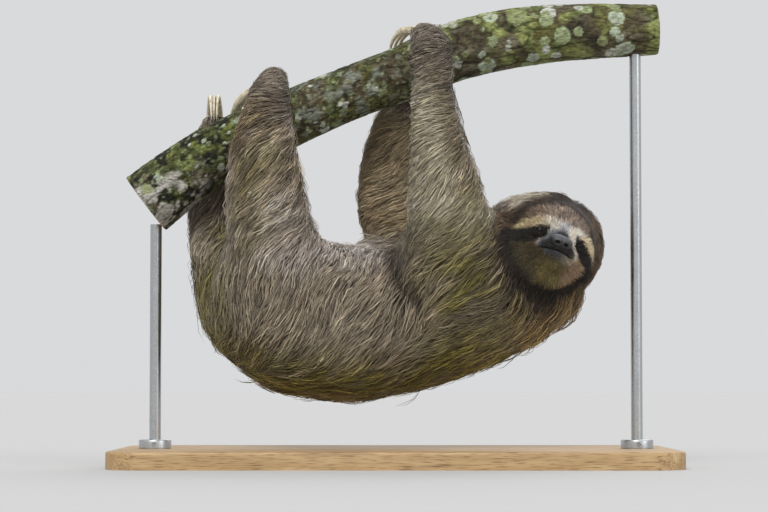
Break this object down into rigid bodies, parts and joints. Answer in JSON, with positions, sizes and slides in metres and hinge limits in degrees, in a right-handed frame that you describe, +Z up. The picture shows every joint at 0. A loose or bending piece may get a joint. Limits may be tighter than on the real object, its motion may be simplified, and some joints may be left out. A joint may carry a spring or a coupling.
{
  "type": "three-toed sloth",
  "caption": "Life-size still three-toed sloth hanging belly-up by its four clawed limbs from a cut branch, held by a flat base and two rods.",
  "frame": {"origin": "on the floor, under the middle of the display stand's base", "axes": "+Z up, +X along the branch and the body towards the animal's head, -Y towards the animal's left side, which faces the viewer"},
  "size_m": [0.58, 0.3, 0.4855],
  "materials": {
    "coat": "coarse shaggy grey-brown hair with a greenish tint, matte",
    "face_coat": "short dense hair: dark crown and eye stripes, cream brow, tan cheeks, matte",
    "claws": "cream keratin, satin, with darker grooves",
    "eyes": "wet dark brown, glossy",
    "nose": "dark slate skin, pebbled, slightly moist",
    "bark": "rough grey-brown bark with pale lichen and green moss",
    "stand_base": "oiled oak, open grain, low satin",
    "stand_metal": "brushed, satin"
  },
  "bodies": {
    "root": {"head": "face_coat", "neck": "coat", "trunk": "coat", "tail": "coat", "left_arm": "coat", "right_arm": "coat", "left_leg": "coat", "right_leg": "coat", "left_hand": "coat", "right_hand": "coat", "left_foot": "coat", "right_foot": "coat", "left_hand_claw_1": "claws", "left_hand_claw_2": "claws", "left_hand_claw_3": "claws", "left_foot_claw_1": "claws", "left_foot_claw_2": "claws", "left_foot_claw_3": "claws", "left_eye": "eyes", "right_hand_claw_1": "claws", "right_hand_claw_2": "claws", "right_hand_claw_3": "claws", "right_foot_claw_1": "claws", "right_foot_claw_2": "claws", "right_foot_claw_3": "claws", "right_eye": "eyes", "nose": "nose", "perch_branch": "bark", "stand_base": "stand_base", "stand_rod_left": "stand_metal", "stand_collar_left": "stand_metal", "stand_rod_right": "stand_metal", "stand_collar_right": "stand_metal"}
  },
  "joints": []
}
